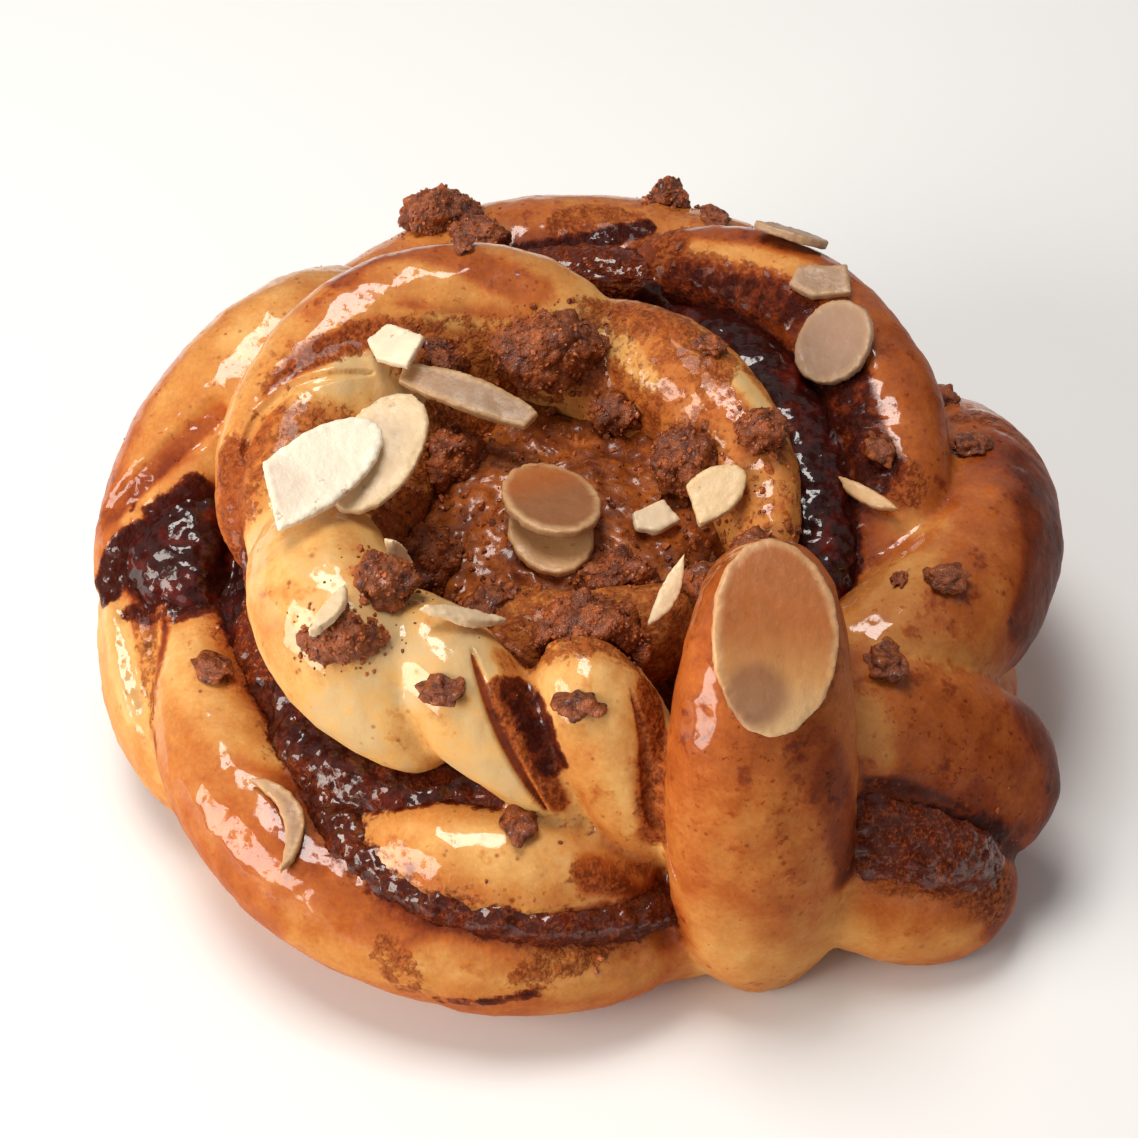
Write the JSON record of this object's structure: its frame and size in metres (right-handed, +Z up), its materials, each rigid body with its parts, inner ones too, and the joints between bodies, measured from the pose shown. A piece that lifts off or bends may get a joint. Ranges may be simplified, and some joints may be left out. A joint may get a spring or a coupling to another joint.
{
  "type": "speculoos bun",
  "caption": "Knotted sweet bun of glazed twisted dough with dark filling in its grooves, speculoos spread and crumble in the hollow on top and sliced almonds.",
  "frame": {"origin": "centre of the flat base on which the bun stands", "axes": "+Z up, -Y towards the front, where the tail of the strand is strapped over, +X to the right"},
  "size_m": [0.1127, 0.108, 0.0571],
  "materials": {
    "dough": "baked sweet dough, egg-washed and glazed, golden brown",
    "filling": "dark sticky sugar and fruit filling, wet and glossy",
    "spread": "smooth caramel-brown biscuit spread",
    "crumble": "granular red-brown biscuit crumble",
    "almond": "thin sliced almond, cream with toasted edges"
  },
  "bodies": {
    "root": {"dough": "dough", "filling": "filling", "spread": "spread", "clump_crown": "crumble", "clump_crown_left": "crumble", "clump_crown_right": "crumble", "clump_left_wall": "crumble", "clump_left": "crumble", "clump_left_rim": "crumble", "clump_left_front": "crumble", "clump_front": "crumble", "clump_centre": "crumble", "clump_right": "crumble", "clump_right_rim": "crumble", "clump_strap_top": "crumble", "clump_strap_side": "crumble", "clump_back_left": "crumble", "clump_back_left_small": "crumble", "clump_back": "crumble", "almond_strap": "almond", "almond_left_chip": "almond", "almond_left_back": "almond", "almond_left_long": "almond", "almond_left_sliver": "almond", "almond_left_front": "almond", "almond_stick": "almond", "almond_square": "almond", "almond_centre_under": "almond", "almond_centre": "almond", "almond_notched": "almond", "almond_grey_chip": "almond", "almond_strap_chip": "almond", "almond_front_sliver": "almond", "almond_outer_curl": "almond", "almond_right": "almond", "almond_right_chip": "almond", "almond_back": "almond", "almond_right_sliver": "almond"}
  },
  "joints": []
}
